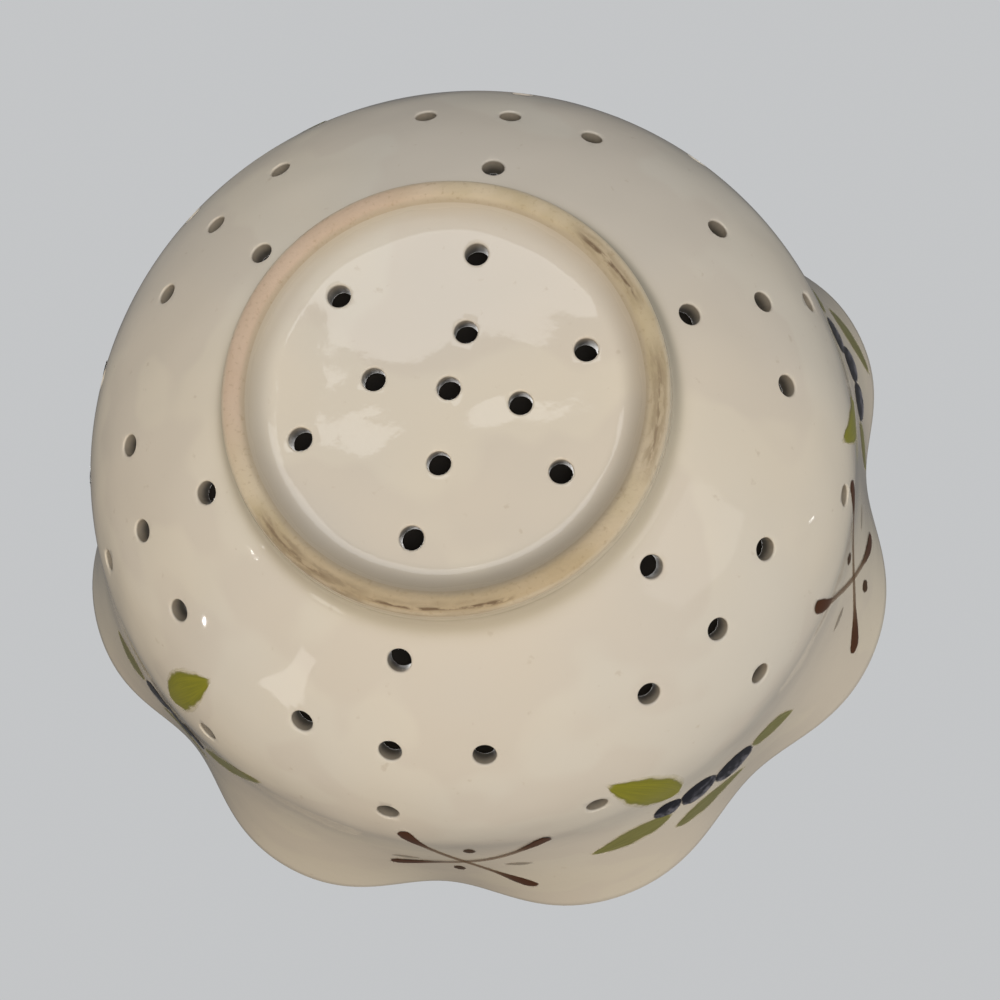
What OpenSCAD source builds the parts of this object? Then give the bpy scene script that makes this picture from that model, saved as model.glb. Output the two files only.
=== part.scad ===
// Colander bowl of glazed ceramic for rinsing berries, standing mouth up.
// The floor and the wall are pierced, the foot is a low ring, and the wall
// opens into a rim of soft lobes with enamel sprays and sprigs round the outside.
// Lengths are in millimetres. +Z is up and the foot stands on Z = 0.

/* [Bowl] */
// Height of the whole bowl
bowl_h = 83; // [76:0.5:92]
// Thickness of the fired clay
wall_t = 3.4; // [2.8:0.1:4]
// Radius of the flat middle of the floor
floor_flat_r = 15; // [10:0.5:20]
// Radius of the long curve that leads from the floor into the wall
floor_sweep_r = 78; // [70:0.5:86]
// Slope at which the floor's curve hands over to the knee, in degrees
floor_sweep_turn = 37.5; // [34:0.5:41]
// Radius of the knee between the floor and the upright wall
knee_r = 43; // [36:0.5:50]
// Slope of the upright wall, in degrees from level
wall_slope = 71.6; // [69:0.1:75]

/* [Foot] */
// Radius of the middle of the line that the foot stands on
foot_r = 34.9; // [34.2:0.1:37]
// Width of the foot ring where its glaze ends
foot_w = 4; // [3.4:0.1:4.6]
// Width of the flat that the foot stands on
foot_flat_w = 1.8; // [1.2:0.1:2.4]
// Height of the bare clay band at the foot
band_h = 0.9; // [0.6:0.1:1.2]
// Height of the floor's underside above the standing surface
recess_h = 3; // [2.4:0.05:3.6]
// Radius of the round corner inside the foot ring
foot_inner_cove = 6; // [5:0.1:6.6]
// Radius of the round corner between the foot ring and the wall
foot_outer_cove = 4.5; // [3.6:0.1:5]
// Lean of the foot ring's outer side, measured across its height
foot_side_lean = 0.5; // [0.2:0.05:1]

/* [Rim] */
// Outward swing of the whole edge past the straight wall
rim_flare = 0.5; // [0:0.1:2]
// Distance that a lobe swings out past the dip beside it
lobe_depth = 8.2; // [4:0.1:11]
// Number of lobes round the rim
lobe_count = 8; // [6:1:10]
// Turn of the first lobe from +X, in degrees
lobe_turn = 46.3; // [0:0.1:60]
// Power at which the lobes grow towards the edge
lobe_power = 1.75; // [1.4:0.05:2.4]
// Thickness of the clay at the rounded lip
lip_t = 2.6; // [2:0.1:3]

/* [Drain holes] */
// Radius of each drain hole
hole_r = 2; // [1.5:0.1:2.4]
// Radius of the circle of four holes in the floor
floor_inner_r = 12; // [10.5:0.5:13.5]
// Radius of the circle of six holes in the floor
floor_outer_r = 24.6; // [22.5:0.1:25.4]
// Radius of the first row of holes in the wall
row_1_r = 44.2; // [43:0.1:47]
// Radius of the second row of holes in the wall
row_2_r = 59.4; // [56:0.1:61]
// Radius of the third row of holes, on the same lines as the first row
row_3_low_r = 70.8; // [68:0.1:71.5]
// Radius of the third row of holes, between those lines
row_3_high_r = 73.1; // [72:0.1:74]
// Turn between neighbouring holes in a group of three, in degrees
group_turn = 15.6; // [13:0.1:18]

/* [Ornament] */
// Thickness of the fired enamel
enamel_t = 0.3; // [0.2:0.05:0.5]
// Distance of the middle of the berry sprays below the rim
spray_drop = 28; // [25:0.5:33]
// Length that sets the size of a spray
spray_size = 20; // [16:0.5:21]
// Distance of the crossing of a sprig's strokes below the rim
sprig_drop = 27.5; // [25:0.5:33]
// Reach of a sprig's strokes to each side of their crossing
sprig_reach = 14; // [10:0.5:15]
// Reach of a sprig's strokes above and below their crossing
sprig_rise = 18; // [14:0.5:19]
// Half the width of a stroke at its thick end
stroke_end_hw = 1.45; // [1:0.05:1.8]
// Half the width of a stroke where it is thinnest
stroke_thin_hw = 0.5; // [0.3:0.05:0.8]
// Radius of the small dots above and below a crossing
dot_r = 1.1; // [0.7:0.05:1.5]

/* [Hidden] */
// Space left between the enamel and the glaze that it is fired on
enamel_seat = 0.05;
// Length by which a cut runs past the clay that it cuts
overrun = 1;
// Largest angular step of round surfaces
$fn = 96;
arc_steps = 9;
lobe_steps = 12;
rise_steps = 12;
lip_steps = 6;
leaf_steps = 8;
stroke_steps = 20;
dash_steps = 4;
berry_sides = 12;

// Curve centres of the wall's section, as radius and height
sweep_c = [floor_flat_r, recess_h + floor_sweep_r];
knee_start = sweep_c + floor_sweep_r * [sin(floor_sweep_turn), -cos(floor_sweep_turn)];
knee_c = knee_start - knee_r * [sin(floor_sweep_turn), -cos(floor_sweep_turn)];
knee_end = knee_c + knee_r * [sin(wall_slope), -cos(wall_slope)];
inner_knee_turn = acos((knee_c[1] - knee_end[1]) / (knee_r - wall_t));

// Sizes of the foot ring's section
foot_in_r = foot_r - foot_w / 2;
foot_out_r = foot_r + foot_w / 2;
inner_cove_end = asin((band_h - recess_h + foot_inner_cove) / foot_inner_cove);
plate_r = foot_in_r - foot_inner_cove * cos(inner_cove_end);
foot_side_r = foot_out_r + foot_side_lean;
outer_cove_turn = asin((foot_side_r + foot_outer_cove - floor_flat_r) / (floor_sweep_r + foot_outer_cove));
outer_cove_c = sweep_c + (floor_sweep_r + foot_outer_cove) * [sin(outer_cove_turn), -cos(outer_cove_turn)];
plate_under_turn = asin((plate_r - floor_flat_r) / floor_sweep_r);
plate_top_turn = asin((plate_r - floor_flat_r) / (floor_sweep_r - wall_t));

// Heights of the middles of the sprays and sprigs
spray_h = bowl_h - spray_drop;
sprig_h = bowl_h - sprig_drop;

// Holes in the floor, pierced by hand: turn in degrees and share of the circle's radius
centre_hole_share = [-36, 0.1];
floor_inner_shares = [[-52, 0.94], [28, 1.06], [114, 0.98], [213, 1.02]];
floor_outer_shares = [[-58, 1.02], [3, 1], [55, 0.95], [122, 1], [183, 1.02], [244, 1.03]];
// Turn between neighbouring lines of holes in the wall
line_step = 60;
line_turns = [0:line_step:360 - line_step];

// The lobes were pressed by hand and wander from even spacing, in degrees
wander_once = 2.2;
wander_once_turn = 73;
wander_twice = 2.5;
wander_twice_turn = 13;
// Broadens the lobes and narrows the dips between them
lobe_full_share = 0.11;

// Sprays: turn round the bowl in degrees, then leaves and berries as shares of the
// spray's size. A leaf is its base, its tip, half its width and its bow to one side.
// A berry is its middle and its radius.
spray_turns = [74.5, 4, 159.5, 254.5];
leaf_shares = [
    [[[0.33, -0.46], [0.94, -1.41], 0.22, -0.09], [[0.56, 0.08], [1.34, 0.15], 0.16, -0.04],
     [[0.47, 0.46], [-0.44, 0.6], 0.145, 0.04], [[-0.62, -0.03], [-1.17, 0.27], 0.17, 0]],
    [[[0.6, -0.15], [1.33, -1.32], 0.18, -0.03], [[0.7, 0.41], [1.05, 1.19], 0.11, -0.03],
     [[-0.63, 0.52], [0.04, 1.17], 0.12, 0.02], [[-0.5, -0.02], [-0.95, 0.15], 0.14, 0]],
    [[[-0.13, -1.13], [-0.49, -1.75], 0.18, 0.05], [[-0.55, -0.12], [-1.39, -0.97], 0.14, 0.02],
     [[0.27, 0.67], [-0.48, 0.49], 0.1, 0.02], [[0.57, 0.38], [1.16, 0.31], 0.15, 0]],
    [[[0.32, -0.42], [0.9, -1.32], 0.21, -0.07], [[0.57, 0.09], [1.31, 0.2], 0.15, -0.03],
     [[0.44, 0.52], [-0.43, 0.63], 0.14, 0.04], [[-0.6, 0.01], [-1.18, 0.15], 0.16, 0]]
];
berry_shares = [
    [[0.475, -0.15, 0.15], [0.105, -0.07, 0.205], [-0.35, 0.09, 0.235]],
    [[-0.24, 0.09, 0.195], [0.05, 0.395, 0.19], [0.445, 0.51, 0.195]],
    [[0.35, 0.33, 0.18], [-0.03, 0.21, 0.2], [-0.33, -0.08, 0.16]],
    [[0.465, -0.12, 0.155], [0.095, -0.04, 0.195], [-0.345, 0.07, 0.225]]
];

// Sprigs: turn round the bowl in degrees, then each stroke's two ends as shares of the
// sprig's reach and rise, and its bow to one side as a share of the reach
sprig_turns = [36.5, 111, 204, 307];
stroke_shares = [
    [[[-0.96, -1.23], [0.98, 0.88], 0.03], [[1.11, -1.36], [-0.71, 0.72], -0.17]],
    [[[0.76, -1.24], [-0.94, 0.85], -0.18], [[-1.36, -0.91], [1.08, 0.31], 0.24]],
    [[[-1, -1.13], [0.92, 0.78], 0.04], [[0.95, -1.22], [-0.82, 0.72], -0.16]],
    [[[0.86, -1.18], [-0.9, 0.82], -0.16], [[-1.24, -0.93], [1.03, 0.4], 0.2]]
];
// Length of a stroke's thick end, as a share of the stroke
stroke_club_share = 0.24;
// Share of the thick end over which its tip is rounded off
stroke_tip_share = 0.03;
// Steps to each side of a crossing over which the upper stroke stays clear of the lower one
stroke_lift_steps = 1.6;
// Dots and side dashes of each sprig, as shares of its reach and rise
dot_shares = [
    [[0, -0.48], [0.08, 0.55]], [[-0.16, -0.6], [0.09, 0.37]],
    [[0, -0.5], [0.05, 0.5]], [[-0.1, -0.56], [0.08, 0.4]]
];
dash_shares = [
    [[-0.8, 0.02], [0.81, -0.08]], [[-0.79, 0.04], [0.83, 0.01]],
    [[-0.8, 0], [0.8, -0.04]], [[-0.8, 0.03], [0.82, 0]]
];
dash_len_share = 0.36;
dash_hw_share = 0.5;
dash_end_share = 0.4;
// Share of a leaf's length left off at each end, and the powers that shape its outline
leaf_end_share = 0.035;
leaf_belly_power = 0.8;
leaf_full_power = 0.85;
// Places of a leaf's points from side to side, as shares of half its width
leaf_side_shares = [-1, -0.5, 0, 0.5, 1];
// Rings of a berry's dome and of a dot's, from the middle outwards, as shares of the radius
berry_ring_shares = [0.05, 0.36, 0.7, 1];
dot_ring_shares = [0.5, 1];

clay_glazed = "#d8d2c6";
clay_bare = "#b58f66";
leaf_green = "#7a8528";
berry_blue = "#23232f";
stroke_brown = "#5a3020";

// Points of an arc in the section plane, from one turn to another
function arc(centre, radius, from, to, steps = arc_steps) =
    [for (i = [0:steps]) let (a = from + (to - from) * i / steps)
        centre + radius * [cos(a), sin(a)]];

// Slope of the outer wall at a radius, in degrees
function slope_at(r) = r < knee_start[0]
    ? asin((r - sweep_c[0]) / floor_sweep_r)
    : asin((r - knee_c[0]) / knee_r);

// Height of the outer wall at a radius
function height_at(r) = r < knee_start[0]
    ? sweep_c[1] - floor_sweep_r * cos(slope_at(r))
    : knee_c[1] - knee_r * cos(slope_at(r));

// Swing of the rim round the bowl: 1 on a lobe and 0 in a dip
function lobe(a) =
    let (wander = -wander_once * cos(a - wander_once_turn)
            - wander_twice * cos(2 * (a - wander_twice_turn)),
        phase = lobe_count * (a - lobe_turn - wander))
    (1 + cos(phase)) / 2 + lobe_full_share * pow(sin(phase), 2);

// Share of the way from the knee to the edge
function rise(z) = (z - knee_end[1]) / (bowl_h - knee_end[1]);

// Radius of the outer surface at a turn and a height, from the knee down and up
function outer_r(a, z) = z < knee_end[1]
    ? (z < knee_start[1]
        ? sweep_c[0] + sqrt(pow(floor_sweep_r, 2) - pow(sweep_c[1] - z, 2))
        : knee_c[0] + sqrt(pow(knee_r, 2) - pow(knee_c[1] - z, 2)))
    : knee_end[0] + (z - knee_end[1]) / tan(wall_slope)
        + (rim_flare + lobe_depth * lobe(a)) * pow(rise(z), lobe_power);

// Run of the outer surface per unit of height, above the knee
function outer_run(a, z) = 1 / tan(wall_slope)
    + (rim_flare + lobe_depth * lobe(a)) * lobe_power * pow(rise(z), lobe_power - 1)
        / (bowl_h - knee_end[1]);

// Unit vector from the outer surface into the clay, as radius and height
function inward(a, z) = let (run = outer_run(a, z), n = sqrt(1 + run * run)) [-1 / n, run / n];

// A point of the outer surface, set out from it by a distance
function on_bowl(a, z, out) = [(outer_r(a, z) + out) * cos(a), (outer_r(a, z) + out) * sin(a), z];

// A point of an ornament, from its place across and up beside a middle
function on_wall(turn, middle_h, p, out) =
    on_bowl(turn + p[0] / outer_r(turn, middle_h) * 180 / PI, middle_h + p[1], out);

// Closed band of rings of points, all alike in length, with both end rings capped
module skin(rings) {
    n = len(rings[0]);
    last = len(rings) - 1;
    sides = [for (i = [0:last - 1], j = [0:n - 1])
        let (k = (j + 1) % n) each [
            [i * n + j, i * n + k, (i + 1) * n + k],
            [i * n + j, (i + 1) * n + k, (i + 1) * n + j]]];
    first_cap = [for (j = [1:n - 2]) [0, j + 1, j]];
    last_cap = [for (j = [1:n - 2]) [last * n, last * n + j, last * n + j + 1]];
    polyhedron([for (ring = rings) each ring], concat(sides, first_cap, last_cap), convexity = 6);
}

// Floor of the bowl inside the foot ring, with a middle hole and circles of four and six
module base_plate() {
    top = arc(sweep_c, floor_sweep_r - wall_t, plate_top_turn - 90, -90);
    color(clay_glazed)
    difference() {
        rotate_extrude()
            polygon(concat([[0, recess_h], [plate_r, recess_h]], top,
                [[0, recess_h + wall_t]]));
        floor_hole(centre_hole_share, floor_inner_r);
        for (place = floor_inner_shares) floor_hole(place, floor_inner_r);
        for (place = floor_outer_shares) floor_hole(place, floor_outer_r);
    }
}

module floor_hole(place, circle_r) {
    rotate([0, 0, place[0]])
        translate([place[1] * circle_r, 0, recess_h - overrun])
            cylinder(h = wall_t + foot_outer_cove + overrun, r = hole_r);
}

// Curved wall from the foot ring to the end of the knee, with three rows of holes
module bowl_wall() {
    outside = concat(
        arc(sweep_c, floor_sweep_r, plate_under_turn - 90, floor_sweep_turn - 90),
        arc(knee_c, knee_r, floor_sweep_turn - 90, wall_slope - 90));
    inside = concat(
        arc(knee_c, knee_r - wall_t, inner_knee_turn - 90, floor_sweep_turn - 90),
        arc(sweep_c, floor_sweep_r - wall_t, floor_sweep_turn - 90, plate_top_turn - 90));
    color(clay_glazed)
    difference() {
        rotate_extrude()
            polygon(concat(outside, inside));
        for (line = line_turns) {
            wall_hole(line, row_1_r);
            for (side = [-1, 0, 1]) wall_hole(line + side * group_turn, row_2_r);
            wall_hole(line, row_3_low_r);
            wall_hole(line + line_step / 2, row_3_high_r);
        }
    }
}

// A hole square to the wall's outer face
module wall_hole(turn, r) {
    rotate([0, 0, turn])
        translate([r, 0, height_at(r)])
            rotate([0, 180 - slope_at(r), 0])
                translate([0, 0, -wall_t - overrun])
                    cylinder(h = wall_t + overrun + overrun, r = hole_r);
}

// Glazed ring under the wall that the bowl stands on
module foot_ring() {
    inner_cove = arc([plate_r, recess_h - foot_inner_cove], foot_inner_cove, 90, inner_cove_end);
    outer_cove = arc(outer_cove_c, foot_outer_cove, 180, outer_cove_turn + 90);
    seat = arc(sweep_c, floor_sweep_r, outer_cove_turn - 90, plate_under_turn - 90);
    color(clay_glazed)
    rotate_extrude()
        polygon(concat(inner_cove, [[foot_out_r, band_h]], outer_cove, seat));
}

// Band of bare clay, wiped clean of glaze, that touches the table
module bare_foot_band() {
    corner = (foot_w - foot_flat_w) / 4;
    color(clay_bare)
    rotate_extrude()
        polygon([
            [foot_in_r, band_h],
            [foot_in_r + corner, band_h / 4],
            [foot_r - foot_flat_w / 2, 0],
            [foot_r + foot_flat_w / 2, 0],
            [foot_out_r - corner, band_h / 4],
            [foot_out_r, band_h]
        ]);
}

// Upper wall, opening into lobes, with a rounded lip
module scalloped_rim() {
    sides = lobe_count * lobe_steps;
    color(clay_glazed)
    rim_band([for (i = [0:sides - 1]) rim_section(i * 360 / sides)]);
}

// Section of the rim at one turn, up the outside, over the lip and down the inside
function rim_section(a) =
    let (lip_r = lip_t / 2,
        lip_in = inward(a, bowl_h),
        edge_z = bowl_h - lip_r * (1 + lip_in[1]),
        edge = [outer_r(a, edge_z), edge_z],
        lip_c = edge + lip_r * lip_in,
        start_turn = atan2(-lip_in[1], -lip_in[0]),
        outside = [for (i = [0:rise_steps])
            let (z = knee_end[1] + (edge_z - knee_end[1]) * i / rise_steps) [outer_r(a, z), z]],
        lip = [for (i = [1:lip_steps])
            let (t = start_turn + 180 * i / lip_steps) lip_c + lip_r * [cos(t), sin(t)]],
        inside = [for (i = [rise_steps - 1:-1:1])
            let (z = knee_end[1] + (edge_z - knee_end[1]) * i / rise_steps,
                t = wall_t + (lip_t - wall_t) * i / rise_steps)
            [outer_r(a, z), z] + t * inward(a, z)],
        foot = [[knee_c[0] + (knee_r - wall_t) * sin(inner_knee_turn), knee_end[1]]])
    [for (p = concat(outside, lip, inside, foot)) [p[0] * cos(a), p[0] * sin(a), p[1]]];

// Closed ring of sections
module rim_band(sections) {
    n = len(sections[0]);
    m = len(sections);
    faces = [for (i = [0:m - 1], j = [0:n - 1])
        let (k = (j + 1) % n, h = (i + 1) % m) each [
            [i * n + j, h * n + k, h * n + j],
            [i * n + j, i * n + k, h * n + k]]];
    polyhedron([for (section = sections) each section], faces, convexity = 10);
}

// A leaf from base to tip, pointed at both ends, laid on the wall
module leaf(turn, share) {
    base = spray_size * share[0];
    tip = spray_size * share[1];
    hw = spray_size * share[2];
    bow = spray_size * share[3];
    across = across_of(base, tip);
    color(leaf_green)
    skin([for (i = [0:leaf_steps])
        let (s = leaf_end_share + (1 - 2 * leaf_end_share) * i / leaf_steps,
            w = hw * pow(sin(180 * pow(s, leaf_belly_power)), leaf_full_power),
            middle = base + (tip - base) * s + bow * sin(180 * s) * across)
        [for (side = leaf_side_shares)
            on_wall(turn, spray_h, middle + side * w * across, enamel_seat),
            for (side = -leaf_side_shares) on_wall(turn, spray_h, middle + side * w * across,
                enamel_seat + enamel_t * (1 - abs(side) / 2))]]);
}

// Unit vector square to the line from one place to another
function across_of(from, to) = [from[1] - to[1], to[0] - from[0]] / norm(to - from);

// A low dome of enamel with a round outline, laid on the wall
module dome(turn, h, middle, r, ring_shares) {
    ring = [for (i = [0:berry_sides - 1]) let (t = i * 360 / berry_sides) [cos(t), sin(t)]];
    last = len(ring_shares) - 1;
    skin([
        for (share = ring_shares)
            [for (p = ring) on_wall(turn, h, middle + share * r * p, enamel_seat)],
        for (i = [last:-1:0]) let (share = ring_shares[i])
            [for (p = ring) on_wall(turn, h, middle + share * r * p,
                enamel_seat + enamel_t * (1 - share * share / 2))]
    ]);
}

module spray_leaves(k) {
    for (share = leaf_shares[k]) leaf(spray_turns[k], share);
}

module spray_berries(k) {
    color(berry_blue)
    for (share = berry_shares[k])
        dome(spray_turns[k], spray_h, [share[0], share[1]] * spray_size, share[2] * spray_size,
            berry_ring_shares);
}

// Half the width of a stroke, thick at both ends
function stroke_hw(s) =
    let (e = min(s, 1 - s) / stroke_club_share)
    e < 1
        ? stroke_thin_hw + (stroke_end_hw - stroke_thin_hw)
            * sin(180 * sqrt(max(e, stroke_tip_share)))
        : stroke_thin_hw;

// Rise of the upper stroke over the lower one, 1 where they cross and 0 away from there
function stroke_lift(steps_off) =
    max(0, min(1, stroke_lift_steps + 1 - steps_off));

// A long brush stroke, laid on the wall or over another stroke of its sprig
module stroke(turn, share, upper) {
    from = [share[0][0] * sprig_reach, share[0][1] * sprig_rise];
    to = [share[1][0] * sprig_reach, share[1][1] * sprig_rise];
    bow = share[2] * sprig_reach;
    across = across_of(from, to);
    crossing = norm(from) / (norm(from) + norm(to));
    color(stroke_brown)
    skin([for (i = [0:stroke_steps])
        let (s = i / stroke_steps,
            middle = from + (to - from) * s + bow * sin(180 * s) * across,
            w = stroke_hw(s),
            lift = upper ? stroke_lift(abs(s - crossing) * stroke_steps) : 0,
            seat = enamel_seat + lift * (enamel_seat + enamel_t))
        [for (side = [-1, 1]) on_wall(turn, sprig_h, middle + side * w * across, seat),
            for (side = [1, -1]) on_wall(turn, sprig_h, middle + side * w * across,
                seat + enamel_t)]]);
}

module sprig_strokes(k) {
    stroke(sprig_turns[k], stroke_shares[k][0], false);
    stroke(sprig_turns[k], stroke_shares[k][1], true);
}

// A short level dash, narrower at both ends, laid on the wall
module dash(turn, middle) {
    length = dash_len_share * sprig_reach;
    hw = dash_hw_share * dot_r;
    skin([for (i = [0:dash_steps])
        let (s = i / dash_steps, p = middle + [length * (s - 1 / 2), 0],
            w = [0, hw * (dash_end_share + (1 - dash_end_share) * sin(180 * s))])
        [for (side = [-1, 1]) on_wall(turn, sprig_h, p + side * w, enamel_seat),
            for (side = [1, -1]) on_wall(turn, sprig_h, p + side * w, enamel_seat + enamel_t)]]);
}

// Two dots beside the crossing and a short dash to each side
module sprig_dots(k) {
    color(stroke_brown) {
        for (p = dot_shares[k])
            dome(sprig_turns[k], sprig_h, [p[0] * sprig_reach, p[1] * sprig_rise], dot_r,
                dot_ring_shares);
        for (p = dash_shares[k])
            dash(sprig_turns[k], [p[0] * sprig_reach, p[1] * sprig_rise]);
    }
}

module spray_1_leaves() { spray_leaves(0); }
module spray_2_leaves() { spray_leaves(1); }
module spray_3_leaves() { spray_leaves(2); }
module spray_4_leaves() { spray_leaves(3); }
module spray_1_berries() { spray_berries(0); }
module spray_2_berries() { spray_berries(1); }
module spray_3_berries() { spray_berries(2); }
module spray_4_berries() { spray_berries(3); }
module sprig_1_strokes() { sprig_strokes(0); }
module sprig_2_strokes() { sprig_strokes(1); }
module sprig_3_strokes() { sprig_strokes(2); }
module sprig_4_strokes() { sprig_strokes(3); }
module sprig_1_dots() { sprig_dots(0); }
module sprig_2_dots() { sprig_dots(1); }
module sprig_3_dots() { sprig_dots(2); }
module sprig_4_dots() { sprig_dots(3); }

base_plate();
bowl_wall();
foot_ring();
bare_foot_band();
scalloped_rim();
spray_1_leaves();
spray_2_leaves();
spray_3_leaves();
spray_4_leaves();
spray_1_berries();
spray_2_berries();
spray_3_berries();
spray_4_berries();
sprig_1_strokes();
sprig_2_strokes();
sprig_3_strokes();
sprig_4_strokes();
sprig_1_dots();
sprig_2_dots();
sprig_3_dots();
sprig_4_dots();
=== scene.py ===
"""Berry colander bowl of white glazed ceramic with berry sprays painted round its outside."""
import math

import bpy
from mathutils import Matrix, Vector


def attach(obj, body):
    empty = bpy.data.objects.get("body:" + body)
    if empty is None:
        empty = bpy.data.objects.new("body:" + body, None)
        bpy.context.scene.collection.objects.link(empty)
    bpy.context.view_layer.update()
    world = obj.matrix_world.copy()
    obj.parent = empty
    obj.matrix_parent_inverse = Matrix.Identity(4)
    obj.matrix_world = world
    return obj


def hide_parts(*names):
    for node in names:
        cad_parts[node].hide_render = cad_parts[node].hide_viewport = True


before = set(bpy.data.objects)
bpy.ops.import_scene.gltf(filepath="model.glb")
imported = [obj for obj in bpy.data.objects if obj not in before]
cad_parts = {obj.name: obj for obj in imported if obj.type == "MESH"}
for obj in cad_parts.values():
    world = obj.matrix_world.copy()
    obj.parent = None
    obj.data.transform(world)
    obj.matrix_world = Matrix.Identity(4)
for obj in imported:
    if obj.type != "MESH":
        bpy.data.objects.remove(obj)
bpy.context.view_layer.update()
MM = 0.001


# Camera and studio.
# The photograph looks at the underside of the bowl, so the camera stands under it. The floor
# is seen only from above, and the light is soft and plain from both sides.
class Wire:
    """A value in a node tree, so that the maths of a material or a shape reads as sums."""

    def __init__(self, socket):
        self.socket = socket
        self.tree = socket.id_data

    def sum_of(self, operation, *values):
        node = self.tree.nodes.new("ShaderNodeMath")
        node.operation = operation
        for slot, value in zip(node.inputs, values):
            feed(slot, value)
        return Wire(node.outputs[0])

    def __add__(self, other):
        return self.sum_of("ADD", self, other)

    def __radd__(self, other):
        return self.sum_of("ADD", other, self)

    def __sub__(self, other):
        return self.sum_of("SUBTRACT", self, other)

    def __rsub__(self, other):
        return self.sum_of("SUBTRACT", other, self)

    def __mul__(self, other):
        return self.sum_of("MULTIPLY", self, other)

    def __rmul__(self, other):
        return self.sum_of("MULTIPLY", other, self)

    def __truediv__(self, other):
        return self.sum_of("DIVIDE", self, other)

    def __pow__(self, other):
        return self.sum_of("POWER", self, other)

    def __neg__(self):
        return self.sum_of("MULTIPLY", self, -1.0)

    def by(self, operation, *others):
        return self.sum_of(operation, self, *others)


def feed(slot, value):
    if isinstance(value, Wire):
        value.tree.links.new(value.socket, slot)
    else:
        slot.default_value = value


def node_of(tree, kind, inputs=(), **settings):
    """A node with its settings and inputs, which are named or numbered."""
    node = tree.nodes.new(kind)
    for name, value in settings.items():
        setattr(node, name, value)
    for name, value in dict(inputs).items():
        feed(node.inputs[name], value)
    return node


def between(value, low, high):
    """0 below the low value, 1 above the high one, and smooth between them."""
    node = node_of(value.tree, "ShaderNodeMapRange", {0: value, 1: low, 2: high, 3: 0.0, 4: 1.0},
                   interpolation_type="SMOOTHSTEP")
    return Wire(node.outputs[0])


def parts_of(tree, vector):
    """The three numbers of a vector."""
    apart = node_of(tree, "ShaderNodeSeparateXYZ", {0: vector})
    return [Wire(apart.outputs[i]) for i in range(3)]


def object_place(tree):
    """Where a point lies in its object, in metres."""
    return Wire(node_of(tree, "ShaderNodeTexCoord").outputs["Object"])


def brush_place(tree):
    """Where a point lies in its brush mark."""
    return Wire(node_of(tree, "ShaderNodeUVMap", uv_map="brush").outputs[0])


def tone_of(tree):
    """The number that tells the brush marks of one material apart."""
    return Wire(node_of(tree, "ShaderNodeAttribute", attribute_name="tone").outputs["Fac"])


def material_of(name):
    """A new material, its tree and its Principled shader."""
    material = bpy.data.materials.new(name)
    material.use_nodes = True
    tree = material.node_tree
    tree.nodes.clear()
    shader = tree.nodes.new("ShaderNodeBsdfPrincipled")
    output = tree.nodes.new("ShaderNodeOutputMaterial")
    tree.links.new(shader.outputs[0], output.inputs["Surface"])
    return material, tree, shader


def in_scene(name, mesh, *materials):
    piece = bpy.data.objects.new(name, mesh)
    bpy.context.scene.collection.objects.link(piece)
    for material in materials:
        mesh.materials.append(material)
    return piece


lens = sensor = 36.0
nearest, farthest = 0.01, 20.0
pitch, roll, bowl_turn = 0.18297, -0.06146, math.radians(20.0)
place = Vector((1.62, 51.08, -155.75)) * MM

camera_data = bpy.data.cameras.new("photo_camera")
camera_data.lens = lens
camera_data.sensor_width = sensor
camera_data.clip_start = nearest
camera_data.clip_end = farthest
camera = bpy.data.objects.new("photo_camera", camera_data)
bpy.context.scene.collection.objects.link(camera)
cp, sp, cr, sr = math.cos(pitch), math.sin(pitch), math.cos(roll), math.sin(roll)
rows = [(cr, 0.0, sr), (sp * sr, cp, -sp * cr), (-cp * sr, sp, cp * cr)]
right = Vector((rows[0][0], rows[0][1], -rows[0][2]))
up = -Vector((rows[1][0], rows[1][1], -rows[1][2]))
back = Vector((rows[2][0], rows[2][1], -rows[2][2]))
looking = Matrix((right, up, back)).transposed().to_4x4()
camera.matrix_world = Matrix.Translation(place) @ Matrix.Rotation(bowl_turn, 4, "Z") @ looking
bpy.context.scene.camera = camera
bpy.context.scene.view_settings.view_transform = "Standard"

pale = (0.55, 0.56, 0.57, 1.0)
ambient = (0.11, 0.109, 0.107, 1.0)
mirrored_room = (0.13, 0.13, 0.13, 1.0)
world = bpy.data.worlds.new("pale_studio")
bpy.context.scene.world = world
world.use_nodes = True
tree = world.node_tree
tree.nodes.clear()
ray = node_of(tree, "ShaderNodeLightPath")
seen = Wire(ray.outputs["Is Camera Ray"]).by("MAXIMUM", Wire(ray.outputs["Is Transmission Ray"]))
glossy = Wire(ray.outputs["Is Glossy Ray"])
room = node_of(tree, "ShaderNodeMix", {0: glossy, 6: ambient, 7: mirrored_room}, data_type="RGBA")
shown = node_of(tree, "ShaderNodeMix", {0: seen, 6: Wire(room.outputs[2]), 7: pale}, data_type="RGBA")
background = node_of(tree, "ShaderNodeBackground", {"Color": Wire(shown.outputs[2]), "Strength": 1.0})
output = node_of(tree, "ShaderNodeOutputWorld")
tree.links.new(background.outputs[0], output.inputs["Surface"])


middle = Vector((0.0, 0.0, 0.04))
white, daylight = (1.0, 1.0, 1.0), (1.0, 0.98, 0.95)
soft_white, lamplight, skylight = (1.0, 0.985, 0.975), (1.0, 0.8, 0.54), (0.96, 0.98, 1.0)
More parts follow.
